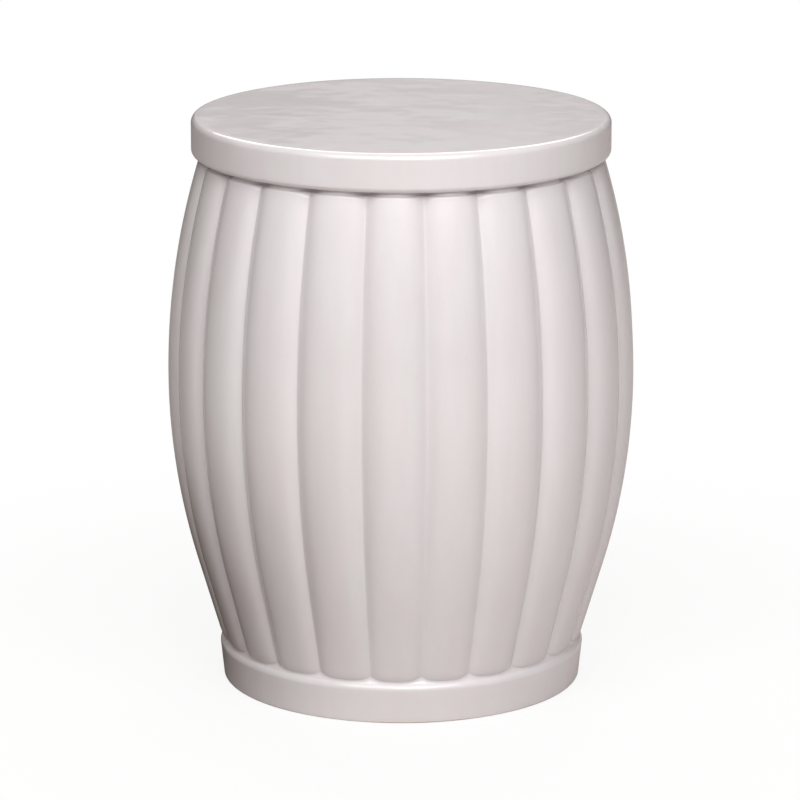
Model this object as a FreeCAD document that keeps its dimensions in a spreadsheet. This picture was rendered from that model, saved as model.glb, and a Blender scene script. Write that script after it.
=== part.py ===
# Ceramic garden stool: a hollow ribbed barrel of glazed stoneware between a flat round seat
# and a low base ring. The three are luted together with clay slip before firing, and a coil
# of clay is pressed into each joint's corner from the inside.
# +Z is up, and the origin is the centre of the foot, on the ground.

import FreeCAD, Part

import math
import os

import Sketcher

# Driving dimensions, in millimetres. Diameters of the barrel are over the crests of its ribs.
# The seat and the neck follow the shoulder, and the base ring follows the foot.
SIZES = {
    "total_height": 457.0,
    "seat_overhang": 5.0,
    "seat_rim_depth": 30.6,
    "seat_slab": 12.0,
    "seat_top_round": 5.5,
    "seat_under_round": 4.5,
    "belly_diameter": 372.6,
    "belly_height": 252.0,
    "shoulder_diameter": 321.8,
    "foot_diameter": 289.4,
    "taper_height": 97.0,
    "rib_count": 22,
    "rib_turn": 6.0,
    "rib_round": 38.0,
    "rib_tip_round": 4.5,
    "wall": 13.0,
    "neck_inset": 10.9,
    "neck_wall": 9.5,
    "neck_gap": 3.6,
    "neck_slope": 9.0,
    "lip_wall": 6.5,
    "base_ledge": 2.3,
    "base_draft": 3.5,
    "base_width": 27.0,
    "base_height": 33.0,
    "base_floor": 18.0,
    "base_crown_round": 6.0,
    "base_edge_round": 1.6,
    "slip_bed": 1.2,
    "joint_clearance": 0.5,
    "coil_width": 10.0,
    "coil_round": 6.0,
    "coil_clearance": 0.3,
}

SEAT_UNDERSIDE = "(Sizes.total_height - Sizes.seat_slab)"
RIM_BOTTOM = "(Sizes.total_height - Sizes.seat_rim_depth)"
BELLY_RADIUS = "(Sizes.belly_diameter / 2)"
SHOULDER_RADIUS = "(Sizes.shoulder_diameter / 2)"
FOOT_RADIUS = "(Sizes.foot_diameter / 2)"
SEAT_RADIUS = f"({SHOULDER_RADIUS} + Sizes.seat_overhang)"
RIB_TOP = f"({RIM_BOTTOM} - Sizes.neck_gap)"
NECK_RADIUS = f"({SHOULDER_RADIUS} - Sizes.neck_inset)"
NECK_BORE = f"({NECK_RADIUS} - Sizes.neck_wall)"
NECK_TOP = f"({SEAT_UNDERSIDE} - Sizes.slip_bed)"
POCKET_RADIUS = f"({NECK_RADIUS} + Sizes.joint_clearance)"
LIP_BORE = f"({FOOT_RADIUS} - Sizes.wall)"
LIP_RADIUS = f"({LIP_BORE} + Sizes.lip_wall)"
LIP_BOTTOM = "(Sizes.base_floor + Sizes.slip_bed)"
REBATE_RADIUS = f"({LIP_RADIUS} + Sizes.joint_clearance)"
BASE_RADIUS = f"({FOOT_RADIUS} + Sizes.base_ledge)"
BASE_BOTTOM_RADIUS = f"({BASE_RADIUS} - Sizes.base_draft)"
BASE_INNER_RADIUS = f"({BASE_RADIUS} - Sizes.base_width)"

# How far the bar for a rib runs on at each end before it is cut level.
ABOVE_RIBS = f"({RIB_TOP} + Sizes.rib_round)"
BELOW_RIBS = "(Sizes.base_height - 2 * Sizes.rib_round)"

UPRIGHT = FreeCAD.Vector(0, 0, 1)

# Two heights nearer than this are the same level.
SAME_LEVEL = 1e-4

# The corner of the base ring's crown, which the feet of the ribs are scribed to.
BASE_CROWN = (BASE_RADIUS, "Sizes.base_height", "Sizes.base_crown_round")


def make_sizes(doc):
    """Puts every driving dimension in one sheet, each under its own name."""
    sheet = doc.addObject("Spreadsheet::Sheet", "Sizes")
    for row, (name, size) in enumerate(SIZES.items(), start=1):
        sheet.set(f"A{row}", name)
        sheet.set(f"B{row}", str(size))
        sheet.setAlias(f"B{row}", name)
    doc.recompute()


def value(owner, expression):
    """What an expression of the sheet's names is worth now, as a plain number."""
    found = owner.evalExpression(expression)
    return float(getattr(found, "Value", found))


def new_body(doc, name):
    body = doc.addObject("PartDesign::Body", name)
    body.Label = name
    return body


def origin_feature(body, role):
    return next(feature for feature in body.Origin.OriginFeatures if feature.Role == role)


def new_sketch(body, name, plane="XZ_Plane"):
    """A sketch on one of the body's own planes. On XZ it is drawn as radius and height."""
    sketch = body.newObject("Sketcher::SketchObject", name)
    sketch.AttachmentSupport = [(origin_feature(body, plane), "")]
    sketch.MapMode = "FlatFace"
    return sketch


def pin(sketch, geometry, vertex, across, up):
    """Holds a vertex at two expressions, measured from the sketch's origin. None leaves it free."""
    for kind, expression, axis in (("DistanceX", across, -2), ("DistanceY", up, -1)):
        if expression is None:
            continue
        if expression == "0":
            sketch.addConstraint(Sketcher.Constraint("PointOnObject", geometry, vertex, axis))
            continue
        distance = value(sketch, expression)
        row = sketch.addConstraint(Sketcher.Constraint(kind, -1, 1, geometry, vertex, distance))
        sketch.setExpression(f"Constraints[{row}]", expression)


def hold_radius(sketch, geometry, expression):
    radius = value(sketch, expression)
    row = sketch.addConstraint(Sketcher.Constraint("Radius", geometry, radius))
    sketch.setExpression(f"Constraints[{row}]", expression)


def hold_through(sketch, geometry, point, across, up):
    """Makes a curve pass through the point that two expressions give."""
    mark = sketch.addGeometry(Part.Point(point), True)
    pin(sketch, mark, 1, across, up)
    sketch.addConstraint(Sketcher.Constraint("PointOnObject", mark, 1, geometry))


def rounded_corner(before, corner, after, radius):
    """The arc that rounds a corner, as its first point, its middle and its last point."""
    to_before = (before - corner).normalize()
    to_after = (after - corner).normalize()
    half_angle = to_before.getAngle(to_after) / 2
    reach = radius / math.tan(half_angle)
    depth = radius / math.sin(half_angle) - radius
    middle = corner + (to_before + to_after).normalize() * depth
    return corner + to_before * reach, middle, corner + to_after * reach


def draw_outline(sketch, corners):
    """A closed outline of straight sides. Each corner is (across, up) or (across, up, radius)."""
    count = len(corners)
    points = [FreeCAD.Vector(value(sketch, c[0]), value(sketch, c[1]), 0) for c in corners]
    arcs = {}
    for k, corner in enumerate(corners):
        if len(corner) == 3:
            radius = value(sketch, corner[2])
            arcs[k] = rounded_corner(points[k - 1], points[k], points[(k + 1) % count], radius)
    sides = []
    for k in range(count):
        following = (k + 1) % count
        start = arcs[k][2] if k in arcs else points[k]
        end = arcs[following][0] if following in arcs else points[following]
        sides.append(sketch.addGeometry(Part.LineSegment(start, end), False))
    for k, corner in enumerate(corners):
        arriving, leaving = sides[k - 1], sides[k]
        if k in arcs:
            join_round(sketch, arriving, leaving, points[k], arcs[k], corner)
        else:
            sketch.addConstraint(Sketcher.Constraint("Coincident", arriving, 2, leaving, 1))
            pin(sketch, leaving, 1, corner[0], corner[1])


def join_round(sketch, arriving, leaving, point, points_on_arc, corner):
    """An arc tangent to two sides, whose lines still cross at the corner's own point."""
    first = points_on_arc[0]
    arc = sketch.addGeometry(Part.Arc(*points_on_arc), False)
    drawn = sketch.Geometry[arc]
    runs_forward = (drawn.StartPoint - first).Length < (drawn.EndPoint - first).Length
    near, far = (1, 2) if runs_forward else (2, 1)
    mark = sketch.addGeometry(Part.Point(point), True)
    pin(sketch, mark, 1, corner[0], corner[1])
    sketch.addConstraint(Sketcher.Constraint("PointOnObject", mark, 1, arriving))
    sketch.addConstraint(Sketcher.Constraint("PointOnObject", mark, 1, leaving))
    sketch.addConstraint(Sketcher.Constraint("Tangent", arriving, 2, arc, near))
    sketch.addConstraint(Sketcher.Constraint("Tangent", arc, far, leaving, 1))
    hold_radius(sketch, arc, corner[2])


def upper_arc_radius(belly, shoulder):
    """Radius of the arc that stands upright at the belly and runs through the shoulder."""
    drop = belly.x - shoulder.x
    rise = shoulder.y - belly.y
    return (drop * drop + rise * rise) / (2 * drop)


def lower_arc_radius(belly, foot, taper_height):
    """Radius of the arc below the belly whose tangent, where the taper starts, meets the foot."""
    fall = belly.y - taper_height
    low, high = fall, fall + belly.x * belly.x
    while high - low > 1e-9 * high:
        radius = (low + high) / 2
        run = math.sqrt(radius * radius - fall * fall)
        across = belly.x - radius + run - fall / run * (taper_height - foot.y)
        if across < foot.x:
            low = radius
        else:
            high = radius
    return radius


def draw_belly_arc(sketch, belly, radius, rise):
    """An arc whose centre is level with the belly, from the belly to a rise above or below it."""
    centre = FreeCAD.Vector(belly.x - radius, belly.y, 0)
    circle = Part.Circle(centre, UPRIGHT, radius)
    turn = math.asin(rise / radius)
    return sketch.addGeometry(Part.ArcOfCircle(circle, min(0, turn), max(0, turn)), False)


def draw_side_line(sketch, inset, top, bottom):
    """The barrel's side line, inset from the rib crests: one arc from the belly up, one from it
    down, and a straight taper to the foot. Returns the three, from the top down."""
    belly_across = f"({BELLY_RADIUS} - {inset})"
    shoulder_across = f"({SHOULDER_RADIUS} - {inset})"
    foot_across = f"({FOOT_RADIUS} - {inset})"
    belly = FreeCAD.Vector(value(sketch, belly_across), value(sketch, "Sizes.belly_height"), 0)
    shoulder = FreeCAD.Vector(value(sketch, shoulder_across), value(sketch, RIB_TOP), 0)
    foot = FreeCAD.Vector(value(sketch, foot_across), value(sketch, "Sizes.base_height"), 0)
    taper_height = value(sketch, "Sizes.taper_height")
    upper_radius = upper_arc_radius(belly, shoulder)
    lower_radius = lower_arc_radius(belly, foot, taper_height)
    upper = draw_belly_arc(sketch, belly, upper_radius, value(sketch, top) - belly.y)
    lower = draw_belly_arc(sketch, belly, lower_radius, taper_height - belly.y)
    taper_start = sketch.Geometry[lower].StartPoint
    slope = (taper_start - foot) * (1 / (taper_start.y - foot.y))
    taper_end = foot + slope * (value(sketch, bottom) - foot.y)
    taper = sketch.addGeometry(Part.LineSegment(taper_start, taper_end), False)
    pin(sketch, upper, 1, belly_across, "Sizes.belly_height")
    pin(sketch, upper, 2, None, top)
    pin(sketch, upper, 3, None, "Sizes.belly_height")
    hold_through(sketch, upper, shoulder, shoulder_across, RIB_TOP)
    sketch.addConstraint(Sketcher.Constraint("Coincident", lower, 2, upper, 1))
    pin(sketch, lower, 1, None, "Sizes.taper_height")
    pin(sketch, lower, 3, None, "Sizes.belly_height")
    sketch.addConstraint(Sketcher.Constraint("Tangent", lower, 1, taper, 1))
    pin(sketch, taper, 2, None, bottom)
    hold_through(sketch, taper, foot, foot_across, "Sizes.base_height")
    return upper, lower, taper


def measure_radius(sketch, geometry, name):
    """Names a curve's radius as a measure that other sketches and features can read."""
    radius = sketch.Geometry[geometry].Radius
    row = sketch.addConstraint(Sketcher.Constraint("Radius", geometry, radius))
    sketch.setDriving(row, False)
    sketch.renameConstraint(row, name)


def revolve(body, name, sketch, kind="PartDesign::Revolution"):
    """Turns a sketch once round the upright axis, as clay or as a cut."""
    turned = body.newObject(kind, name)
    turned.Profile = sketch
    turned.ReferenceAxis = (sketch, ["V_Axis"])
    turned.Angle = 360
    sketch.Visibility = False


def cut_through(body, name, sketch):
    """Cuts a sketch through the body, both ways from the sketch's plane."""
    pocket = body.newObject("PartDesign::Pocket", name)
    pocket.Profile = sketch
    pocket.Type = "ThroughAll"
    pocket.Midplane = True


def make_turned_piece(doc, name, corners):
    """A piece of clay that is one closed outline turned round the upright axis."""
    body = new_body(doc, name)
    sketch = new_sketch(body, f"{name}_outline")
    draw_outline(sketch, corners)
    revolve(body, f"{name}_turned", sketch)
    return body


def make_seat(doc):
    """The round seat: a slab with a rim that hangs down round the neck of the barrel."""
    return make_turned_piece(doc, "seat_disc", [
        ("0", SEAT_UNDERSIDE),
        (POCKET_RADIUS, SEAT_UNDERSIDE),
        (POCKET_RADIUS, RIM_BOTTOM),
        (SEAT_RADIUS, RIM_BOTTOM, "Sizes.seat_under_round"),
        (SEAT_RADIUS, "Sizes.total_height", "Sizes.seat_top_round"),
        ("0", "Sizes.total_height"),
    ])


def make_seat_slip(doc):
    """The bed of fired slip between the top of the neck and the underside of the seat."""
    return make_turned_piece(doc, "seat_slip_bed", [
        (NECK_BORE, NECK_TOP),
        (NECK_RADIUS, NECK_TOP),
        (NECK_RADIUS, SEAT_UNDERSIDE),
        (NECK_BORE, SEAT_UNDERSIDE),
    ])


def make_seat_coil(doc):
    """The coil of clay pressed into the corner under the seat, inside the neck."""
    outside = f"({NECK_BORE} - Sizes.coil_clearance)"
    inside = f"({outside} - Sizes.coil_width)"
    bottom = f"({SEAT_UNDERSIDE} - Sizes.coil_width)"
    return make_turned_piece(doc, "seat_corner_coil", [
        (outside, SEAT_UNDERSIDE),
        (inside, SEAT_UNDERSIDE),
        (inside, bottom, "Sizes.coil_round"),
        (outside, bottom),
    ])


def make_base_ring(doc):
    """The base ring, with a floor inside that carries the lip of the barrel."""
    return make_turned_piece(doc, "base_ring", [
        (BASE_INNER_RADIUS, "0"),
        (BASE_BOTTOM_RADIUS, "0", "Sizes.base_edge_round"),
        BASE_CROWN,
        (REBATE_RADIUS, "Sizes.base_height"),
        (REBATE_RADIUS, "Sizes.base_floor"),
        (BASE_INNER_RADIUS, "Sizes.base_floor"),
    ])


def make_base_slip(doc):
    """The bed of fired slip under the lip of the barrel, on the floor of the base ring."""
    return make_turned_piece(doc, "base_slip_bed", [
        (LIP_BORE, "Sizes.base_floor"),
        (LIP_RADIUS, "Sizes.base_floor"),
        (LIP_RADIUS, LIP_BOTTOM),
        (LIP_BORE, LIP_BOTTOM),
    ])


def make_base_coil(doc):
    """The coil of clay pressed into the corner between the lip and the base ring's floor."""
    outside = f"({LIP_BORE} - Sizes.coil_clearance)"
    inside = f"({outside} - Sizes.coil_width)"
    top = "(Sizes.base_floor + Sizes.coil_width)"
    return make_turned_piece(doc, "base_corner_coil", [
        (outside, "Sizes.base_floor"),
        (outside, top),
        (inside, top, "Sizes.coil_round"),
        (inside, "Sizes.base_floor"),
    ])


def make_barrel(doc):
    """The ribbed barrel: one rib is shaped first, and then repeated round the upright axis."""
    body = new_body(doc, "ribbed_barrel")
    bend_bar(doc, body)
    level_rib(body)
    trim_rib_sides(body)
    round_rib_tip(doc, body)
    hollow_rib(body)
    scribe_foot(body)
    repeat_rib(doc, body)
    add_neck_and_lip(body)
    body.Placement = FreeCAD.Placement(FreeCAD.Vector(), UPRIGHT, value(body, "Sizes.rib_turn"))
    body.setExpression("Placement.Rotation.Angle", "Sizes.rib_turn * 1 deg")
    return body


def bend_bar(doc, body):
    """A round bar bent along the barrel's side line, whose outer side is the rib's surface."""
    side_line = new_sketch(body, "side_line")
    upper, lower, _ = draw_side_line(side_line, "0", ABOVE_RIBS, BELOW_RIBS)
    measure_radius(side_line, upper, "upper_bow")
    measure_radius(side_line, lower, "lower_bow")
    section = new_sketch(body, "bar_section", "XY_Plane")
    section.setExpression("AttachmentOffset.Base.z", "Sizes.belly_height")
    doc.recompute()
    across = f"({BELLY_RADIUS} - Sizes.rib_round)"
    centre = FreeCAD.Vector(value(section, across), 0, 0)
    radius = value(section, "Sizes.rib_round")
    circle = section.addGeometry(Part.Circle(centre, UPRIGHT, radius), False)
    pin(section, circle, 3, across, "0")
    hold_radius(section, circle, "Sizes.rib_round")
    upper_bow = "(side_line.Constraints.upper_bow / 1 mm)"
    lower_bow = "(side_line.Constraints.lower_bow / 1 mm)"
    rise = f"({ABOVE_RIBS} - Sizes.belly_height)"
    fall = "(Sizes.belly_height - Sizes.taper_height)"
    draw_bend_axis(section, f"({BELLY_RADIUS} - {upper_bow})")
    draw_bend_axis(section, f"({BELLY_RADIUS} - {lower_bow})")
    bend(body, "upper_bend", section, "Axis0", f"asin({rise} / {upper_bow})", True)
    bend(body, "lower_bend", section, "Axis1", f"asin({fall} / {lower_bow})", False)
    doc.recompute()
    bent = body.Tip
    faces = [face for face in bent.Shape.Faces if isinstance(face.Surface, Part.Plane)]
    lowest = min(faces, key=lambda face: face.CenterOfMass.z)
    number = next(k for k, face in enumerate(bent.Shape.Faces, start=1) if face.isSame(lowest))
    straight = body.newObject("PartDesign::Pad", "taper_bar")
    straight.Profile = (bent, [f"Face{number}"])
    straight.setExpression("Length", f"(Sizes.taper_height - {BELOW_RIBS})")


def draw_bend_axis(sketch, across):
    """A construction line square to the barrel's side line, through the centre of one of its arcs."""
    start = FreeCAD.Vector(value(sketch, across), 0, 0)
    end = FreeCAD.Vector(start.x, value(sketch, "Sizes.rib_round"), 0)
    line = sketch.addGeometry(Part.LineSegment(start, end), True)
    pin(sketch, line, 1, across, "0")
    pin(sketch, line, 2, across, "Sizes.rib_round")


def bend(body, name, section, axis, angle, upward):
    """Bends the bar on from its section at the belly, about one of the section's axes."""
    turned = body.newObject("PartDesign::Revolution", name)
    turned.Profile = section
    turned.ReferenceAxis = (section, [axis])
    turned.setExpression("Angle", angle)
    turned.Reversed = upward


def level_rib(body):
    """Cuts the bar level, at the top where the ribs end and at the foot inside the base ring."""
    near = "Sizes.wall"
    far = f"({BELLY_RADIUS} + Sizes.wall)"
    foot = "(Sizes.base_height - Sizes.base_crown_round)"
    sketch = new_sketch(body, "rib_ends")
    draw_outline(sketch, [
        (near, RIB_TOP),
        (far, RIB_TOP),
        (far, f"({ABOVE_RIBS} + Sizes.wall)"),
        (near, f"({ABOVE_RIBS} + Sizes.wall)"),
    ])
    draw_outline(sketch, [
        (near, foot),
        (far, foot),
        (far, f"({BELOW_RIBS} - Sizes.wall)"),
        (near, f"({BELOW_RIBS} - Sizes.wall)"),
    ])
    cut_through(body, "rib_levelled", sketch)


def trim_rib_sides(body):
    """Cuts the bar to the slice of the circle that one rib fills."""
    near = "Sizes.wall"
    far = f"({BELLY_RADIUS} + Sizes.wall)"
    slope = "tan(180 deg / Sizes.rib_count)"
    sketch = new_sketch(body, "rib_sides", "XY_Plane")
    for sign in ("", "-"):
        draw_outline(sketch, [
            (near, f"{sign}{near} * {slope}"),
            (far, f"{sign}{far} * {slope}"),
            (far, f"{sign}{far}"),
            (near, f"{sign}{far}"),
        ])
    cut_through(body, "rib_sides_trimmed", sketch)


def round_rib_tip(doc, body):
    """Rounds the outer edge of the rib's level top."""
    doc.recompute()
    trimmed = body.Tip
    top = value(body, RIB_TOP)
    inside = value(body, f"({SHOULDER_RADIUS} - Sizes.wall)")
    edges = [
        f"Edge{number}"
        for number, edge in enumerate(trimmed.Shape.Edges, start=1)
        if all(abs(vertex.Z - top) < SAME_LEVEL for vertex in edge.Vertexes)
        and edge.CenterOfMass.x > inside
    ]
    rounded = body.newObject("PartDesign::Fillet", "rib_tip_rounded")
    rounded.Base = (trimmed, edges)
    rounded.setExpression("Radius", "Sizes.rib_tip_round")
    doc.recompute()


def hollow_rib(body):
    """The hollow inside, which follows the rib's crest at the wall's thickness."""
    sketch = new_sketch(body, "hollow_outline")
    slope_start = f"({RIB_TOP} - Sizes.neck_slope)"
    upper, _, taper = draw_side_line(sketch, "Sizes.wall", slope_start, "Sizes.base_height")
    foot = sketch.Geometry[taper].EndPoint
    route = [
        (NECK_BORE, RIB_TOP),
        (NECK_BORE, ABOVE_RIBS),
        ("0", ABOVE_RIBS),
        ("0", BELOW_RIBS),
        (LIP_BORE, BELOW_RIBS),
    ]
    start = sketch.Geometry[upper].EndPoint
    previous = upper
    for across, up in route:
        end = FreeCAD.Vector(value(sketch, across), value(sketch, up), 0)
        side = sketch.addGeometry(Part.LineSegment(start, end), False)
        sketch.addConstraint(Sketcher.Constraint("Coincident", previous, 2, side, 1))
        pin(sketch, side, 2, across, up)
        start = end
        previous = side
    last = sketch.addGeometry(Part.LineSegment(start, foot), False)
    sketch.addConstraint(Sketcher.Constraint("Coincident", previous, 2, last, 1))
    sketch.addConstraint(Sketcher.Constraint("Coincident", last, 2, taper, 2))
    revolve(body, "hollow", sketch, "PartDesign::Groove")


def scribe_foot(body):
    """Trims the rib's foot to the base ring's flat top and rounded crown."""
    sketch = new_sketch(body, "foot_scribe_outline")
    draw_outline(sketch, [
        ("Sizes.wall", "0"),
        (BASE_BOTTOM_RADIUS, "0"),
        BASE_CROWN,
        ("Sizes.wall", "Sizes.base_height"),
    ])
    revolve(body, "foot_scribed", sketch, "PartDesign::Groove")


def repeat_rib(doc, body):
    """Repeats the finished rib round the upright axis."""
    ribs = body.newObject("PartDesign::PolarPattern", "ribs")
    ribs.TransformMode = "Whole shape"
    ribs.Axis = (origin_feature(body, "Z_Axis"), [""])
    ribs.Angle = 360
    ribs.setExpression("Occurrences", "Sizes.rib_count")
    body.Tip = ribs
    doc.recompute()


def add_neck_and_lip(body):
    """The plain neck above the ribs, and the lip below them that stands in the base ring."""
    sketch = new_sketch(body, "neck_and_lip_outline")
    draw_outline(sketch, [
        (NECK_BORE, RIB_TOP),
        (NECK_RADIUS, RIB_TOP),
        (NECK_RADIUS, NECK_TOP),
        (NECK_BORE, NECK_TOP),
    ])
    draw_outline(sketch, [
        (LIP_BORE, LIP_BOTTOM),
        (LIP_RADIUS, LIP_BOTTOM),
        (LIP_RADIUS, "Sizes.base_height"),
        (LIP_BORE, "Sizes.base_height"),
    ])
    revolve(body, "neck_and_lip", sketch)


def check(doc, bodies):
    """Stops the script if anything failed to compute or any piece isn't one sound solid."""
    for item in doc.Objects:
        if "Invalid" in item.State or "Error" in item.State:
            raise RuntimeError(f"{item.Label} failed: {item.State}")
    for body in bodies:
        if body.Shape.isNull() or not body.Shape.isValid():
            raise RuntimeError(f"{body.Label} has no sound shape")
        if len(body.Shape.Solids) != 1:
            raise RuntimeError(f"{body.Label} isn't one solid")


def main():
    doc = FreeCAD.newDocument("GardenStool")
    make_sizes(doc)
    bodies = [
        make_seat(doc),
        make_seat_slip(doc),
        make_seat_coil(doc),
        make_barrel(doc),
        make_base_coil(doc),
        make_base_slip(doc),
        make_base_ring(doc),
    ]
    doc.recompute()
    check(doc, bodies)
    os.makedirs("parts", exist_ok=True)
    for body in bodies:
        body.Shape.exportStep(f"parts/{body.Label}.step")


main()
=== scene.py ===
# Ceramic garden stool: the finish of its glazed seat, ribbed barrel and base ring, and of
# the bare clay inside. Lengths are in metres, in the same frame as the construction.

import math

import bpy
import bmesh
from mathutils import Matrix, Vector, noise


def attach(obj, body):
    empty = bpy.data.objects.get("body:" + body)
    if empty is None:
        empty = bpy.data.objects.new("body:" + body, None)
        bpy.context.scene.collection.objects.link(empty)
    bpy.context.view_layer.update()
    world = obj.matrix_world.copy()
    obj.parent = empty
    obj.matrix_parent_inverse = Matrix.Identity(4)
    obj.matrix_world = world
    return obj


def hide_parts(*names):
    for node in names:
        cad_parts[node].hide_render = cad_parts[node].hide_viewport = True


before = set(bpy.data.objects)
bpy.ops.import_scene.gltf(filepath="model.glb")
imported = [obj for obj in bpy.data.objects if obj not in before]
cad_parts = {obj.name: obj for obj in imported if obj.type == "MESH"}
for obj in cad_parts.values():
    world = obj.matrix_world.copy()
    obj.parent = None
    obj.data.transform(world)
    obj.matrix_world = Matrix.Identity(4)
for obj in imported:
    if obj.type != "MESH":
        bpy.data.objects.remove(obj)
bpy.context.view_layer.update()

MM = 0.001

# The seat.
TOTAL_HEIGHT = 457 * MM
SEAT_RADIUS = 165.9 * MM
RIM_BOTTOM = 426.4 * MM
SEAT_UNDERSIDE = 445 * MM
POCKET_RADIUS = 150.5 * MM
SEAT_TOP_ROUND = 5.5 * MM
SEAT_UNDER_ROUND = 4.5 * MM

# The barrel's side line over the crests of its ribs: an arc above the belly, an arc below
# it, and a straight taper to the foot.
BELLY_RADIUS = 186.3 * MM
BELLY_HEIGHT = 252 * MM
UPPER_BOW = 586.96 * MM
LOWER_BOW = 543.67 * MM
TAPER_HEIGHT = 97 * MM
RIB_COUNT = 22
RIB_TURN = math.radians(6)
RIB_ROUND = 38 * MM
RIB_TOP = 422.8 * MM
TIP_INSET_AT_CREST = 0.9 * MM
TIP_INSET_AT_GROOVE = 4.5 * MM
TIP_DROP_AT_CREST = 0.8 * MM
TIP_DROP_AT_GROOVE = 9.0 * MM
TIP_SPREAD = 3.2
WALL = 13 * MM
NECK_RADIUS = 150 * MM
NECK_BORE = 140.5 * MM
NECK_TOP = 443.8 * MM
NECK_SLOPE = 9 * MM
LIP_RADIUS = 138.2 * MM
LIP_BORE = 131.7 * MM
LIP_BOTTOM = 19.2 * MM

# The base ring.
BASE_HEIGHT = 33 * MM
BASE_CORNER_RADIUS = 147 * MM
BASE_BOTTOM_RADIUS = 143.5 * MM
BASE_INNER_RADIUS = 120 * MM
BASE_FLOOR = 18 * MM
REBATE_RADIUS = 138.7 * MM
BASE_CROWN_ROUND = 6 * MM
BASE_EDGE_ROUND = 1.6 * MM
FOOT_BEVEL = 1.2 * MM

# Where the glaze stops: above the base ring's foot, inside its ledge, and at the edge of
# the seat's pocket.
BARE_FOOT_HEIGHT = 1 * MM
GLAZED_LEDGE_DEPTH = 2 * MM
POCKET_SLACK = 1 * MM

# How the glaze fills the grooves and runs out on to the base ring.
GROOVE_FILL = 0.7 * MM
GROOVE_SLOPE = 0.66
POOL_SPREAD = 4.8
FLARE_AT_CREST = 1.5 * MM
FLARE_AT_GROOVE = 5.0 * MM

# Edges that end inside another piece go past its face by a number of these tucks.
TUCKED_IN = 0.1 * MM
COVE_TUCKS = 2
FOOT_TUCKS = 4
LIP_TUCKS = 5

# The foot of each rib curls in like the tip of a finger before the glaze runs out. Most
# of the curl is lost at a groove.
CURL_DEPTH = 2.0 * MM
CURL_HEIGHT = 7.0 * MM
CURL_LOST_AT_GROOVE = 0.8

# The seam under the seat's rim is filled with a cove of slip and glaze.
COVE_AT_CREST = 159.3 * MM
COVE_AT_GROOVE = 151.0 * MM
COVE_LEAST = 0.4 * MM

# How far the hand-built surfaces wander inwards from true, and how close the hollows lie.
UNEVENNESS = 0.5 * MM
HOLLOWS_PER_METRE = 9.0
GROOVE_WANDER = math.radians(0.35)
GROOVE_SWAYS_PER_METRE = 5.0
NOISE_MIDDLE = 0.5

# The ribs are a little flatter over the middle than an arc, and not quite evenly spaced.
RIB_PILLOW = 0.9 * MM
RIB_DRIFT = math.radians(0.71)
SLOW_DRIFT_START = math.radians(192.9)
QUICK_DRIFT_START = math.radians(25.9)
QUICK_DRIFTS_ROUND = 4

# How finely the pieces are built: the columns of one rib, the rows of each leg of its
# slice, and the steps of a turned piece round the axis.
RIB_COLUMNS = 24
LEG_ROWS = {
    "under": 2, "flare": 8, "curl": 8, "wall": 54, "tip": 9, "cove": 6, "ledge": 2,
    "neck": 2, "rim": 1, "bore": 2, "slope": 2, "inside": 26, "lip_end": 1, "lip_side": 1,
}
TURNED_STEPS = 264

# Points closer together than the first are merged, and points as near the axis as the
# second lie on it. A turned piece's edges are crisp past the angle.
MERGE_DISTANCE = 0.01 * MM
ON_THE_AXIS = 0.001 * MM
SHARP_ANGLE = math.radians(50)

# A leg counts as begun at the first part in this many. Faces past this share of the rim's
# leg are bare clay.
AT_ONCE = 1000
BARE_FROM = 0.4

# The glaze's colours, and how much of each one shows at most.
GLAZE_PINK = (0.80, 0.75, 0.765, 1)
GLAZE_GREY = (0.785, 0.775, 0.78, 1)
GLAZE_VEIL = (0.82, 0.79, 0.81, 1)
GLAZE_VEIL_SHARE = 0.6
# A paler band beside each groove: a painted highlight, standing in for the glaze's reflection
# there.
GLAZE_GROOVE_EDGE_HIGHLIGHT = (0.87, 0.85, 0.86, 1)
GLAZE_GROOVE_EDGE_HIGHLIGHT_SHARE = 0.25
# Warm glaze run thick in the grooves, which also stands in for painted shade there.
GLAZE_POOL_AND_GROOVE_SHADE = (0.58, 0.48, 0.44, 1)
GLAZE_POOL_AND_GROOVE_SHADE_SHARE = 0.8
GLAZE_RUNS = (0.74, 0.70, 0.70, 1)
GLAZE_RUNS_SHARE = 0.16
GLAZE_SPECKS = (0.60, 0.52, 0.47, 1)
GLAZE_SPECKS_SHARE = 0.18
GLAZE_ROUGHNESS = 0.30
GLAZE_ROUGHNESS_SPREAD = 0.10
GLAZE_RIPPLE = 1.6 * MM
GLAZE_PEEL = 0.02 * MM

# The pale and the dark colour of the bare clay and of the slip, and the grains in both.
CLAY_COLOURS = ((0.60, 0.47, 0.37, 1), (0.50, 0.38, 0.29, 1))
SLIP_COLOURS = ((0.66, 0.56, 0.47, 1), (0.58, 0.47, 0.38, 1))
CLAY_DARK_SHARE = 0.7
CLAY_GRAINS = (0.24, 0.17, 0.13, 1)
CLAY_GRAINS_SHARE = 0.5
CLAY_ROUGHNESS = 0.78
CLAY_ROUGHNESS_SPREAD = 0.15
CLAY_MARKS = 0.9 * MM
CLAY_GRIT = 0.2 * MM

# Noise is drawn out along an axis by a scale under 1 and squeezed by one over 1. This
# makes the streaks and runs down the glaze, and the level throwing marks in the clay.
STREAKED = (1.0, 1.0, 0.22)
RUN_DOWN = (1.0, 1.0, 0.05)
THROWING_MARKS = (1.0, 1.0, 9.0)

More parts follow.
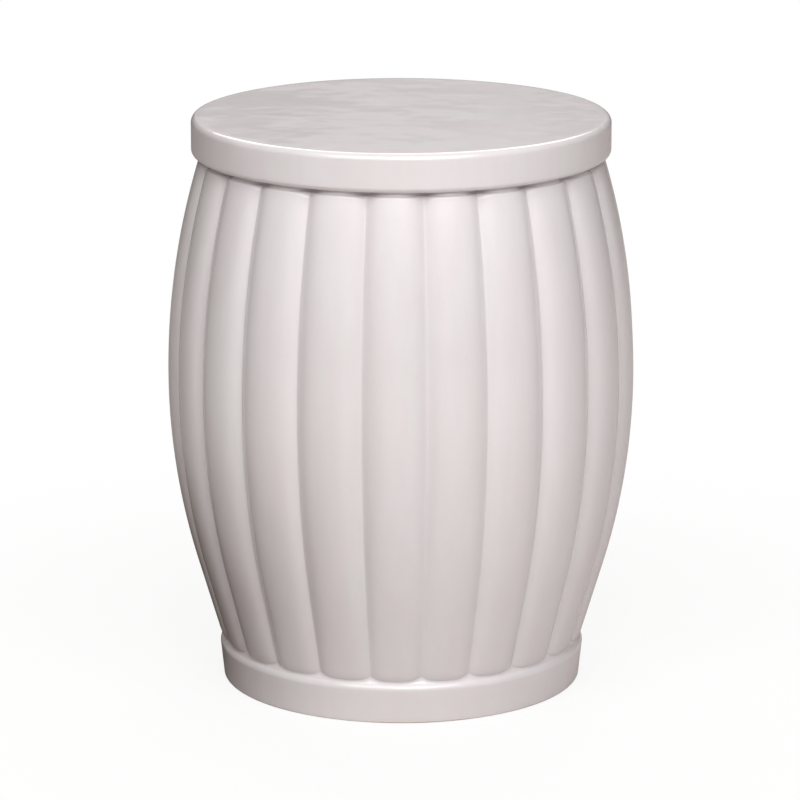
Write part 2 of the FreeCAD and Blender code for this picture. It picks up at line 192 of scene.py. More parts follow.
# The floor's colours: two that the glaze reflects, and the one that the camera sees. The
# dark one is a painted shadow: it lies along one way from the stool, by its left foot, and
# fades out. Near the stool, the camera sees this share of the floor's own shading.
FLOOR_PALE = (0.59, 0.55, 0.535, 1)
FLOOR_PAINTED_SHADOW = (0.07, 0.045, 0.03, 1)
FLOOR_SEEN = (0.97, 0.965, 0.96, 1)
FLOOR_SHADOW_WAY = (-0.98, 0.2, 0.0)
FLOOR_SHADOW_FADE = 0.6
FLOOR_HALF_SIDE = 9.0
SHADOW_SHARE = 0.15
WHITE = (1, 1, 1, 1)

# The room that the glaze reflects. A patch of broken sheen hangs behind the stool.
ROOM_DIM = (0.33, 0.31, 0.305, 1)
ROOM_PALE = (0.40, 0.38, 0.375, 1)
ROOM_LEFT = (0.07, 0.052, 0.042, 1)
ROOM_LEFT_WAY = (-0.87, 0.5, 0.0)
ROOM_RIGHT = (0.16, 0.145, 0.14, 1)
ROOM_RIGHT_WAY = (0.87, 0.5, 0.0)
SHEEN_DARK = (0.10, 0.07, 0.07, 1)
SHEEN_PALE = (0.47, 0.45, 0.45, 1)
SHEEN_WAY = (0.0, 0.982, 0.19)
SHEEN_SHREDS = (18.0, 18.0, 90.0)

# The lamps are soft boxes. Angles are in degrees, sizes in metres and power in watts.
LAMP_TARGET_HEIGHT = 0.25
LAMPS = {
    "front_soft": {
        "azimuth": -2, "elevation": 46, "distance": 2.4, "width": 3.0, "height": 1.8,
        "power": 51, "colour": (1.0, 0.99, 0.985),
    },
    "front_strip": {
        "azimuth": 7, "elevation": 28, "distance": 2.4, "width": 1.0, "height": 0.25,
        "power": 5, "colour": (1.0, 1.0, 1.0),
    },
    "back_soft": {
        "azimuth": 184, "elevation": 44, "distance": 2.8, "width": 2.6, "height": 1.2,
        "power": 31, "colour": (1.0, 0.985, 0.975),
    },
}

# The camera, as it was fitted to the photograph.
CAMERA_PLACE = (-0.00104, -3.533, 1.118)
CAMERA_DIP = math.radians(14.19)
CAMERA_LENS = 205.1
CAMERA_SENSOR = 36.0
CAMERA_FARTHEST = 50.0

# The base ring's side slopes out as it rises, and its crown is rounded to meet that slope.
BASE_SLOPE = math.atan((BASE_CORNER_RADIUS - BASE_BOTTOM_RADIUS) / BASE_HEIGHT)
CROWN_LEVEL = BASE_HEIGHT - BASE_CROWN_ROUND
CROWN_START = (BASE_BOTTOM_RADIUS + CROWN_LEVEL * math.tan(BASE_SLOPE)
               - BASE_CROWN_ROUND / math.cos(BASE_SLOPE))


class Field:
    """A number worked out at each point by a node tree. Arithmetic on it adds Math nodes."""

    def __init__(self, tree, socket):
        self.tree = tree
        self.socket = socket

    def math(self, operation, *others):
        node = self.tree.nodes.new("ShaderNodeMath")
        node.operation = operation
        for slot, term in enumerate((self, *others)):
            feed(self.tree, term, node.inputs[slot])
        return Field(self.tree, node.outputs[0])

    def __add__(self, other):
        return self.math("ADD", other)

    def __sub__(self, other):
        return self.math("SUBTRACT", other)

    def __mul__(self, other):
        return self.math("MULTIPLY", other)

    def __truediv__(self, other):
        return self.math("DIVIDE", other)

    def root(self):
        return self.math("SQRT")

    def at_least(self, floor):
        return self.math("MAXIMUM", floor)

    def at_most(self, ceiling):
        return self.math("MINIMUM", ceiling)

    def from_one(self):
        """What this number leaves of 1."""
        return self * -1 + 1

    def begun(self):
        """For a leg: 0 up to its start, and 1 as soon as it has started."""
        return (self * AT_ONCE).at_most(1)

    def towards(self, end, share):
        """Moves from this number to the end number as the share goes from 0 to 1."""
        gap = end - self if isinstance(end, Field) else self * -1 + end
        return self + gap * share


def feed(tree, term, socket):
    """Links a field or an output to a node's input, or sets a plain value there."""
    if isinstance(term, Field):
        term = term.socket
    if isinstance(term, bpy.types.NodeSocket):
        tree.links.new(term, socket)
    else:
        socket.default_value = term


def add(tree, kind, inputs=None, **settings):
    """Adds one node with its settings, and feeds the inputs that are named."""
    node = tree.nodes.new(kind)
    for name, setting in settings.items():
        setattr(node, name, setting)
    for name, term in (inputs or {}).items():
        feed(tree, term, node.inputs[name])
    return node


class BarrelShape:
    """The Geometry Nodes tree of the barrel: one rib's slice of the whole wall, outside and
    inside, repeated round the axis. The slice is a grid. Its columns run from groove to
    groove, and its rows run up the outside, over the neck, down the inside and back."""

    def __init__(self):
        self.tree = bpy.data.node_groups.new("ribbed_barrel_shape", "GeometryNodeTree")
        self.settings = {}
        self.group_in = self.tree.nodes.new("NodeGroupInput")
        self.rows = 0
        self.row = None
        self.half_pitch = None

    def size(self, name, value, kind="NodeSocketFloat"):
        """A named input of the tree. It is made the first time that it is asked for."""
        if name not in self.settings:
            item = self.tree.interface.new_socket(name=name, in_out="INPUT", socket_type=kind)
            self.settings[name] = (item.identifier, value)
        return Field(self.tree, self.group_in.outputs[name])

    def leg(self, name):
        """Takes the next rows for one leg of the slice. What it gives runs from 0 to 1 over
        those rows, and stays 0 before them and 1 after."""
        first = self.rows
        count = LEG_ROWS[name]
        self.rows = first + count
        return ((self.row - first) / count).at_least(0).at_most(1)

    def crown_height(self, radius):
        """Height of the base ring's crown: flat inside, and rounded over outside."""
        crown = self.size("Crown Round", BASE_CROWN_ROUND)
        past = radius - self.size("Crown Start", CROWN_START)
        past = past.at_least(0).at_most(crown)
        drop = crown - (crown * crown - past * past).root()
        return self.size("Base Height", BASE_HEIGHT) - drop

    def side_line(self, height):
        """Radius over the crests at a height, and how far the side leans in there."""
        belly = self.size("Belly Height", BELLY_HEIGHT)
        taper = self.size("Taper Height", TAPER_HEIGHT)
        upper_bow = self.size("Upper Bow", UPPER_BOW)
        lower_bow = self.size("Lower Bow", LOWER_BOW)
        above = (height - belly).at_least(0)
        below = (belly - height).at_least(0).at_most(belly - taper)
        under = (taper - height).at_least(0)
        upper_run = (upper_bow * upper_bow - above * above).root()
        lower_run = (lower_bow * lower_bow - below * below).root()
        lower_lean = below / lower_run
        lean = above / upper_run + lower_lean
        crest = self.size("Belly Radius", BELLY_RADIUS) - upper_bow + upper_run
        crest = crest - lower_bow + lower_run - lower_lean * under
        return crest, lean

    def rib_section(self, height, share):
        """One point of the rib's rounded section: its distance from the axis, its angle from
        the crest, and the way the surface faces there. The share runs from -1 in one groove
        to 1 in the next."""
        crest, lean = self.side_line(height)
        stretch = (lean * lean + 1).root()
        bar = self.size("Rib Round", RIB_ROUND)
        deep_bar = bar * stretch
        slope = self.half_pitch.math("TANGENT")
        deep_slope = slope * stretch
        reach = bar * (deep_slope * deep_slope + 1).root()
        cut_off = (slope * (crest - deep_bar) / reach).math("ARCSINE")
        widest = deep_slope.math("ARCTANGENT") + cut_off
        turn = widest * share
        across = bar * turn.math("SINE")
        out = crest - deep_bar + deep_bar * turn.math("COSINE")
        radius = (out * out + across * across).root()
        angle = across.math("ARCTAN2", out)
        rise = radius * (self.half_pitch - angle.math("ABSOLUTE"))
        rise = rise.at_least(0) * self.size("Groove Slope", GROOVE_SLOPE)
        fill = self.size("Groove Fill", GROOVE_FILL)
        brim = (rise * rise + fill * fill).root()
        tilt = (turn - angle).math("TANGENT") * rise / brim
        middle = share * share
        pillow = (middle - middle * middle) * 4 * self.size("Rib Pillow", RIB_PILLOW)
        return radius + brim - rise + pillow, angle, angle + tilt.math("ARCTANGENT")

    def slice(self):
        """The grid of one rib's slice, with its crest on the X axis."""
        tree = self.tree
        columns = self.size("Rib Columns", RIB_COLUMNS, "NodeSocketInt")
        count = self.size("Rib Count", RIB_COUNT, "NodeSocketInt")
        self.half_pitch = (count / math.pi).math("POWER", -1)
        grid = add(tree, "GeometryNodeMeshGrid", {"Size X": 2.0, "Size Y": 1.0})
        feed(tree, columns + 1, grid.inputs["Vertices X"])
        position = add(tree, "GeometryNodeInputPosition").outputs[0]
        place = add(tree, "ShaderNodeSeparateXYZ", {"Vector": position})
        row_count = self.size("Rows", 0, "NodeSocketInt")
        self.row = (Field(tree, place.outputs["Y"]) + 0.5) * row_count
        feed(tree, row_count + 1, grid.inputs["Vertices Y"])
        # Columns crowd together towards the grooves, where the section turns sharply.
        share = (Field(tree, place.outputs["X"]) * (math.pi / 2)).math("SINE")

        base_top = self.size("Base Height", BASE_HEIGHT)
        rib_top = self.size("Rib Top", RIB_TOP)
        wall_depth = self.size("Wall", WALL)
        lip_radius = self.size("Lip Radius", LIP_RADIUS)
        lip_bore = self.size("Lip Bore", LIP_BORE)
        lip_bottom = self.size("Lip Bottom", LIP_BOTTOM)
        neck_radius = self.size("Neck Radius", NECK_RADIUS)
        neck_bore = self.size("Neck Bore", NECK_BORE)
        neck_top = self.size("Neck Top", NECK_TOP)
        rim_bottom = self.size("Rim Bottom", RIM_BOTTOM)
        neck_slope = self.size("Neck Slope", NECK_SLOPE)
        tucked_in = self.size("Tucked In", TUCKED_IN)
        under = self.leg("under")
        flare = self.leg("flare")
        curl = self.leg("curl")
        wall = self.leg("wall")
        tip = self.leg("tip")
        cove = self.leg("cove")
        ledge = self.leg("ledge")
        neck = self.leg("neck")
        rim = self.leg("rim")
        bore = self.leg("bore")
        slope = self.leg("slope")
        inside = self.leg("inside")
        lip_end = self.leg("lip_end")
        lip_side = self.leg("lip_side")
        self.settings["Rows"] = (self.settings["Rows"][0], self.rows)

        # The glaze runs out at the rib's foot, furthest where a groove brings it down.
        away = share.math("ABSOLUTE").from_one() * self.size("Pool Spread", POOL_SPREAD)
        pool = (away * away + 1).math("POWER", -1)
        runout = self.size("Flare At Crest", FLARE_AT_CREST)
        runout = runout.towards(self.size("Flare At Groove", FLARE_AT_GROOVE), pool)
        curl_depth = self.size("Curl Depth", CURL_DEPTH)
        curl_depth = curl_depth * (pool * -CURL_LOST_AT_GROOVE + 1)
        curl_height = self.size("Curl Height", CURL_HEIGHT)
        foot_radius = self.rib_section(base_top, share)[0] - curl_depth
        swing = flare * (math.pi / 2)
        spread = runout * swing.math("SINE").from_one()
        crown = self.crown_height(foot_radius + spread)
        flare_height = crown + runout * swing.math("COSINE").from_one()

        # The foot's curl: a quarter of an ellipse, from under the rib out to its wall.
        bend = curl * (math.pi / 2)
        curled_in = curl_depth * bend.math("SINE").from_one()
        curl_rise = curl_height * bend.math("COSINE").from_one()

        # The rounded tip starts where it meets the leaning wall, lower down at a groove.
        off = share.math("ABSOLUTE").from_one() * self.size("Tip Spread", TIP_SPREAD)
        corner = (off * off + 1).math("POWER", -1)
        tip_drop = self.size("Tip Drop At Crest", TIP_DROP_AT_CREST)
        tip_drop = tip_drop.towards(self.size("Tip Drop At Groove", TIP_DROP_AT_GROOVE), corner)
        tip_inset = self.size("Tip Inset At Crest", TIP_INSET_AT_CREST)
        tip_inset = tip_inset.towards(self.size("Tip Inset At Groove", TIP_INSET_AT_GROOVE), corner)
        lean = self.side_line(rib_top)[1].math("ARCTANGENT")
        wall_top = rib_top - tip_drop * lean.math("SINE").from_one()
        height = (flare_height + curl_rise).towards(wall_top, wall)
        radius, angle, facing = self.rib_section(height, share)
        rounding = lean.towards(math.pi / 2, tip)
        inset = tip_inset * (lean.math("COSINE") - rounding.math("COSINE"))
        tip_height = rib_top - tip_drop * rounding.math("SINE").from_one()
        height = height.towards(tip_height, tip.begun())

        # The outside, in plan: along the radius, then in from it square to the surface.
        along = radius + spread - curled_in
        plan_x = along * angle.math("COSINE") - inset * facing.math("COSINE")
        plan_y = along * angle.math("SINE") - inset * facing.math("SINE")
        radius = (plan_x * plan_x + plan_y * plan_y).root()
        angle = plan_y.math("ARCTAN2", plan_x)

        # The cove leads in and up from the tip. Past it the barrel is turned: only radius and
        # height matter, and the columns even out as they leave the ribs.
        cove_end = self.size("Cove At Crest", COVE_AT_CREST)
        cove_end = cove_end.towards(self.size("Cove At Groove", COVE_AT_GROOVE), corner)
        cove_end = cove_end.at_most(radius - self.size("Cove Least", COVE_LEAST))
        sweep = cove * (math.pi / 2)
        radius = radius.towards(cove_end, sweep.math("SINE"))
        cove_rise = rim_bottom - rib_top + tucked_in * COVE_TUCKS
        height = height + cove_rise * sweep.math("COSINE").from_one()
        radius = radius.towards(neck_radius, ledge)
        height = height.towards(neck_top, neck)
        radius = radius.towards(neck_bore, rim)
        height = height.towards(rib_top, bore)
        height = height.towards(rib_top - neck_slope, slope)
        height = height.towards(lip_bottom, inside)
        crest, lean = self.side_line(height)
        inner = (crest - wall_depth * (lean * lean + 1).root()).at_least(lip_bore)
        radius = radius.towards(inner, slope)
        radius = radius.towards(lip_radius, lip_end)
        height = height.towards(base_top - tucked_in * LIP_TUCKS, lip_side)
        even = self.half_pitch * Field(tree, place.outputs["X"])
        angle = angle.towards(even, ledge)

        # The foot's hidden face starts inside the base ring and comes out under the flare.
        radius = lip_radius.towards(radius, under)
        hidden = under.from_one() * (tucked_in * FOOT_TUCKS) + tucked_in * flare.from_one()
        height = height - hidden.towards(0.0, wall.begun())
        angle = even.towards(angle, under)

        spot = add(tree, "ShaderNodeCombineXYZ", {
            "X": radius * angle.math("COSINE"),
            "Y": radius * angle.math("SINE"),
            "Z": height,
        })
        shaped = add(tree, "GeometryNodeSetPosition", {
            "Geometry": grid.outputs["Mesh"],
            "Position": spot.outputs[0],
        })
        groove = add(tree, "GeometryNodeStoreNamedAttribute", {
            "Geometry": shaped.outputs[0],
            "Name": "groove",
            "Value": share.math("ABSOLUTE") * ledge.from_one(),
        }, data_type="FLOAT", domain="POINT")
        glazed = add(tree, "GeometryNodeStoreNamedAttribute", {
            "Geometry": groove.outputs[0],
            "Name": "bare",
            "Value": rim,
        }, data_type="FLOAT", domain="POINT")
        return glazed.outputs[0]

    def build(self, glaze, clay):
        """Finishes the tree: the slices in a ring, joined, made uneven, and coloured."""
        tree = self.tree
        tree.interface.new_socket(
            name="Geometry", in_out="OUTPUT", socket_type="NodeSocketGeometry"
        )
        group_out = tree.nodes.new("NodeGroupOutput")
        one_slice = self.slice()
        count = self.size("Rib Count", RIB_COUNT, "NodeSocketInt")
        points = add(tree, "GeometryNodePoints", {"Count": count})
        index = Field(tree, add(tree, "GeometryNodeInputIndex").outputs[0])
        turn = self.half_pitch * (index * 2 + 1)
        turn = turn + self.size("Rib Turn", RIB_TURN) - math.pi / 2
        heading = add(tree, "ShaderNodeCombineXYZ", {"Z": turn})
        ring = add(tree, "GeometryNodeInstanceOnPoints", {
            "Points": points.outputs[0],
            "Instance": one_slice,
            "Rotation": heading.outputs[0],
        })
        solid = add(tree, "GeometryNodeRealizeInstances", {"Geometry": ring.outputs[0]})
        joined = add(tree, "GeometryNodeMergeByDistance", {
            "Geometry": solid.outputs[0],
            "Distance": MERGE_DISTANCE,
        })

        # The ribs drift and wander round the axis.
        sway = add(tree, "ShaderNodeTexNoise", {
            "Scale": GROOVE_SWAYS_PER_METRE,
            "Detail": 1.0,
        })
        swing = Field(tree, sway.outputs[0]) - NOISE_MIDDLE
        swing = swing * self.size("Groove Wander", GROOVE_WANDER)
        position = add(tree, "GeometryNodeInputPosition").outputs[0]
        spot = add(tree, "ShaderNodeSeparateXYZ", {"Vector": position})
        round_about = Field(tree, spot.outputs["Y"])
        round_about = round_about.math("ARCTAN2", Field(tree, spot.outputs["X"]))
        slow = round_about + self.size("Slow Drift Start", SLOW_DRIFT_START)
        drifts = self.size("Quick Drifts Round", QUICK_DRIFTS_ROUND, "NodeSocketInt")
        quick = round_about * drifts + self.size("Quick Drift Start", QUICK_DRIFT_START)
        drift = slow.math("COSINE") + quick.math("COSINE")
        swing = swing + drift * self.size("Rib Drift", RIB_DRIFT)
        swung = add(tree, "ShaderNodeVectorRotate", {
            "Vector": position,
            "Angle": swing,
        }, rotation_type="Z_AXIS")
        wandering = add(tree, "GeometryNodeSetPosition", {
            "Geometry": joined.outputs[0],
            "Position": swung.outputs[0],
        })

        # Shallow hollows sink into the surfaces.
        hollows = add(tree, "ShaderNodeTexNoise", {
            "Scale": self.size("Hollows Per Metre", HOLLOWS_PER_METRE),
            "Detail": 1.0,
        })
        depth = Field(tree, hollows.outputs[0]) * (self.size("Unevenness", UNEVENNESS) * -1)
        normal = add(tree, "GeometryNodeInputNormal").outputs[0]
        offset = add(tree, "ShaderNodeVectorMath", {
            "Vector": normal,
            "Scale": depth,
        }, operation="SCALE")
        uneven = add(tree, "GeometryNodeSetPosition", {
            "Geometry": wandering.outputs[0],
            "Offset": offset.outputs[0],
        })
        smooth = add(tree, "GeometryNodeSetShadeSmooth", {"Geometry": uneven.outputs[0]})
        coated = add(tree, "GeometryNodeSetMaterial", {
            "Geometry": smooth.outputs[0],
            "Material": glaze,
        })
        bare = add(tree, "GeometryNodeInputNamedAttribute", {
            "Name": "bare",
        }, data_type="FLOAT")
        inside = Field(tree, bare.outputs[0]).math("GREATER_THAN", BARE_FROM)
        done = add(tree, "GeometryNodeSetMaterial", {
            "Geometry": coated.outputs[0],
            "Selection": inside,
            "Material": clay,
        })
        tree.links.new(done.outputs[0], group_out.inputs[0])

    def mesh(self, name):
        """Runs the tree once and keeps its result as a plain mesh object."""
        holder = bpy.data.objects.new(name, bpy.data.meshes.new(name))
        bpy.context.scene.collection.objects.link(holder)
        modifier = holder.modifiers.new("shape", "NODES")
        modifier.node_group = self.tree
        for identifier, value in self.settings.values():
            modifier[identifier] = value
        graph = bpy.context.evaluated_depsgraph_get()
        result = bpy.data.meshes.new_from_object(holder.evaluated_get(graph))
        holder.modifiers.remove(modifier)
        holder.data = result
        return holder


def arc(centre, radius, start, end, steps):
    """Points along an arc of a turned outline, as pairs of distance out and height."""
    points = []
    for step in range(steps + 1):
        angle = math.radians(start + (end - start) * step / steps)
        across = centre[0] + radius * math.cos(angle)
        up = centre[1] + radius * math.sin(angle)
        points.append((across, up))
    return points


def run(start, end, steps):
    """Points along a straight run of a turned outline, without the last."""
    points = []
    for step in range(steps):
        share = step / steps
        across = start[0] + (end[0] - start[0]) * share
        up = start[1] + (end[1] - start[1]) * share
        points.append((across, up))
    return points


def hollow(point):
    """How deep the uneven surface lies at a point, from 0 to 1. It matches the noise that
    the barrel's tree uses closely enough for one hand to have made both."""
    return 0.5 + 0.5 * noise.noise(point * HOLLOWS_PER_METRE)


def turned(name, outline, materials, finish):
    """A turned piece: the outline swept round the axis. Points on the axis close it. The
    finish gives a face's material from its distance out and its height."""
    mesh = bmesh.new()
    rings = []
    for across, up in outline:
        if across < ON_THE_AXIS:
            rings.append([mesh.verts.new((0, 0, up))])
            continue
        ring = []
        for step in range(TURNED_STEPS):
            angle = 2 * math.pi * step / TURNED_STEPS
            place = (across * math.cos(angle), across * math.sin(angle), up)
            ring.append(mesh.verts.new(place))
        rings.append(ring)
    closed = len(rings[0]) > 1
    pairs = list(zip(rings, rings[1:]))
    if closed:
        pairs.append((rings[-1], rings[0]))
    for lower, upper in pairs:
        for step in range(TURNED_STEPS):
            after = (step + 1) % TURNED_STEPS
            if len(lower) == 1:
                mesh.faces.new((lower[0], upper[after], upper[step]))
            elif len(upper) == 1:
                mesh.faces.new((lower[step], lower[after], upper[0]))
            else:
                mesh.faces.new((lower[step], lower[after], upper[after], upper[step]))
    bmesh.ops.recalc_face_normals(mesh, faces=mesh.faces)
    mesh.normal_update()
    for vert in mesh.verts:
        vert.co -= vert.normal * (UNEVENNESS * hollow(vert.co))
    mesh.normal_update()
    for face in mesh.faces:
        face.smooth = True
        middle = face.calc_center_median()
        face.material_index = finish(middle.xy.length, middle.z)
    data = bpy.data.meshes.new(name)
    mesh.to_mesh(data)
    mesh.free()
    data.set_sharp_from_angle(angle=SHARP_ANGLE)
    for material in materials:
        data.materials.append(material)
    piece = bpy.data.objects.new(name, data)
    bpy.context.scene.collection.objects.link(piece)
    return piece


def make_seat(glaze, clay):
    """The flat round seat: glazed on top and down its rim, bare clay in its pocket."""
    top_edge = (SEAT_RADIUS - SEAT_TOP_ROUND, TOTAL_HEIGHT - SEAT_TOP_ROUND)
    low_edge = (SEAT_RADIUS - SEAT_UNDER_ROUND, RIM_BOTTOM + SEAT_UNDER_ROUND)
    bevel_level = RIM_BOTTOM + FOOT_BEVEL
    outline = run((0, SEAT_UNDERSIDE), (POCKET_RADIUS, SEAT_UNDERSIDE), 14)
    outline += run((POCKET_RADIUS, SEAT_UNDERSIDE), (POCKET_RADIUS, bevel_level), 3)
    outline += arc((POCKET_RADIUS + FOOT_BEVEL, bevel_level), FOOT_BEVEL, 180, 270, 3)
    outline += arc(low_edge, SEAT_UNDER_ROUND, -90, 0, 12)
    outline += run((SEAT_RADIUS, low_edge[1]), (SEAT_RADIUS, top_edge[1]), 6)[1:]
    outline += arc(top_edge, SEAT_TOP_ROUND, 0, 90, 12)
    outline += run((top_edge[0], TOTAL_HEIGHT), (0, TOTAL_HEIGHT), 34)[1:]
    outline.append((0, TOTAL_HEIGHT))

    def finish(across, up):
        low = up < SEAT_UNDERSIDE + POCKET_SLACK
        return 1 if low and across < POCKET_RADIUS + FOOT_BEVEL else 0

    return turned("glazed_seat", outline, (glaze, clay), finish)


def make_base(glaze, clay):
    """The low base ring: glazed outside and on its ledge, bare clay underneath and within."""
    tilt = math.degrees(BASE_SLOPE)
    foot_centre = BASE_BOTTOM_RADIUS - BASE_EDGE_ROUND + BASE_EDGE_ROUND * BASE_SLOPE
    foot = arc((foot_centre, BASE_EDGE_ROUND), BASE_EDGE_ROUND, -90, -tilt, 6)
    crown = arc((CROWN_START, CROWN_LEVEL), BASE_CROWN_ROUND, -tilt, 90, 14)
    inner_edge = BASE_INNER_RADIUS + FOOT_BEVEL
    outline = foot
    outline += run(foot[-1], crown[0], 8)[1:]
    outline += crown
    outline += run((REBATE_RADIUS, BASE_HEIGHT), (REBATE_RADIUS, BASE_FLOOR), 2)
    outline += run((REBATE_RADIUS, BASE_FLOOR), (inner_edge, BASE_FLOOR), 3)
    outline += arc((inner_edge, BASE_FLOOR - FOOT_BEVEL), FOOT_BEVEL, 90, 180, 3)
    outline += arc((inner_edge, FOOT_BEVEL), FOOT_BEVEL, 180, 270, 3)
    outline += run((inner_edge, 0), (foot[0][0], 0), 3)[1:]

    def finish(across, up):
        outside = across > foot[0][0] and up > BARE_FOOT_HEIGHT
        ledge = up > BASE_HEIGHT - GLAZED_LEDGE_DEPTH
        return 0 if outside or ledge else 1

    return turned("glazed_base_ring", outline, (glaze, clay), finish)


def new_material(name):
    """A material with one shader on its surface, with its node tree and that shader."""
    material = bpy.data.materials.new(name)
    material.use_nodes = True
    tree = material.node_tree
    tree.nodes.clear()
    shader = tree.nodes.new("ShaderNodeBsdfPrincipled")
    output = tree.nodes.new("ShaderNodeOutputMaterial")
    tree.links.new(shader.outputs[0], output.inputs["Surface"])
    return material, tree, shader


def noise_field(tree, place, scale, detail=2.0, roughness=0.5, distortion=0.0):
    """Noise over the piece's own place, from 0 to 1."""
    node = add(tree, "ShaderNodeTexNoise", {
        "Vector": place,
        "Scale": scale,
        "Detail": detail,
        "Roughness": roughness,
        "Distortion": distortion,
    })
    return Field(tree, node.outputs[0])


def banded(field, low, high):
    """Spreads the part of a field between two values over the whole of 0 to 1."""
    node = add(field.tree, "ShaderNodeMapRange", {
        "Value": field,
        "From Min": low,
        "From Max": high,
    }, interpolation_type="SMOOTHSTEP")
    return Field(field.tree, node.outputs[0])


def stretched(tree, place, scale):
    """The place scaled along its axes, so that noise on it comes out drawn out or squeezed."""
    return add(tree, "ShaderNodeMapping", {"Vector": place, "Scale": scale}).outputs[0]


def blend_colours(tree, first, second, share):
    """One colour over another, by a share from 0 to 1."""
    node = add(tree, "ShaderNodeMix", data_type="RGBA")
    colours = [socket for socket in node.inputs if socket.type == "RGBA"]
    feed(tree, share, node.inputs[0])
    feed(tree, first, colours[0])
    feed(tree, second, colours[1])
    return next(socket for socket in node.outputs if socket.type == "RGBA")


def make_glaze():
    """The off-white glaze: glossy, faintly blotched pink and grey down the ribs. In the grooves it
    is warm and darker, partly where it has run thick there and partly as painted shade; a paler
    band beside each groove is a painted highlight."""
    material, tree, shader = new_material("off_white_glaze")
    place = add(tree, "ShaderNodeTexCoord").outputs["Object"]
    streaks = stretched(tree, place, STREAKED)
    groove = add(tree, "ShaderNodeAttribute", attribute_name="groove").outputs["Fac"]
    groove = Field(tree, groove)

    blotch = noise_field(tree, streaks, scale=26.0, detail=3.0, roughness=0.55)
    colour = blend_colours(tree, GLAZE_PINK, GLAZE_GREY, banded(blotch, 0.35, 0.68))
    veil = banded(noise_field(tree, streaks, scale=9.0), 0.3, 0.7)
    colour = blend_colours(tree, colour, GLAZE_VEIL, veil * GLAZE_VEIL_SHARE)
    # Painted highlight: a paler band just beside each groove, as if the glaze caught the light
    # there.
    groove_edge_highlight = banded(groove, 0.72, 0.84) * banded(groove, 0.84, 0.92).from_one()
    colour = blend_colours(tree, colour, GLAZE_GROOVE_EDGE_HIGHLIGHT, groove_edge_highlight * GLAZE_GROOVE_EDGE_HIGHLIGHT_SHARE)
    # Painted shade: the grooves are darkened as though shade fell in them, over a warm tint of
    # glaze run thick there.
    pool_and_groove_shade = banded(groove, 0.86, 1.0)
    colour = blend_colours(tree, colour, GLAZE_POOL_AND_GROOVE_SHADE, pool_and_groove_shade * GLAZE_POOL_AND_GROOVE_SHADE_SHARE)
    runs = noise_field(tree, stretched(tree, place, RUN_DOWN), scale=110.0)
    runs = banded(runs, 0.35, 0.65)
    colour = blend_colours(tree, colour, GLAZE_RUNS, runs * GLAZE_RUNS_SHARE)
    specks = banded(noise_field(tree, place, scale=620.0, detail=1.0), 0.70, 0.78)
    colour = blend_colours(tree, colour, GLAZE_SPECKS, specks * GLAZE_SPECKS_SHARE)
    feed(tree, colour, shader.inputs["Base Color"])

    roughness = noise_field(tree, place, scale=40.0, detail=3.0)
    roughness = roughness * GLAZE_ROUGHNESS_SPREAD + GLAZE_ROUGHNESS
    feed(tree, roughness, shader.inputs["Roughness"])
    ripple = noise_field(tree, place, scale=16.0) * GLAZE_RIPPLE
    peel = noise_field(tree, place, scale=260.0, detail=1.0) * GLAZE_PEEL
    for slot in ("Normal", "Coat Normal"):
        bump = add(tree, "ShaderNodeBump", {
            "Height": ripple + peel,
            "Strength": 0.5,
            "Distance": 1.0,
        })
        feed(tree, bump.outputs[0], shader.inputs[slot])
    shader.inputs["IOR"].default_value = 1.5
    shader.inputs["Coat Weight"].default_value = 0.9
    shader.inputs["Coat Roughness"].default_value = 0.05
    shader.inputs["Coat IOR"].default_value = 1.5
    return material


def make_clay(name, pale, dark):
    """Bare fired clay: matt, grainy, with small dark specks and throwing marks."""
    material, tree, shader = new_material(name)
    place = add(tree, "ShaderNodeTexCoord").outputs["Object"]
    patch = noise_field(tree, place, scale=14.0, detail=4.0, roughness=0.6)
    colour = blend_colours(tree, pale, dark, banded(patch, 0.3, 0.7) * CLAY_DARK_SHARE)
    grains = banded(noise_field(tree, place, scale=900.0), 0.62, 0.76)
    colour = blend_colours(tree, colour, CLAY_GRAINS, grains * CLAY_GRAINS_SHARE)
    feed(tree, colour, shader.inputs["Base Color"])
    roughness = noise_field(tree, place, scale=120.0)
    roughness = roughness * CLAY_ROUGHNESS_SPREAD + CLAY_ROUGHNESS
    feed(tree, roughness, shader.inputs["Roughness"])
    marks = noise_field(tree, stretched(tree, place, THROWING_MARKS), scale=12.0)
    grit = noise_field(tree, place, scale=700.0)
    bump = add(tree, "ShaderNodeBump", {
        "Height": marks * CLAY_MARKS + grit * CLAY_GRIT,
        "Strength": 0.8,
        "Distance": 1.0,
    })
    feed(tree, bump.outputs[0], shader.inputs["Normal"])
    return material


def reach_along(tree, way, heading):
    """How far a way reaches along a heading: 0 when it is square to the heading."""
    node = add(tree, "ShaderNodeVectorMath", {0: way, 1: heading}, operation="DOT_PRODUCT")
    return Field(tree, node.outputs["Value"])


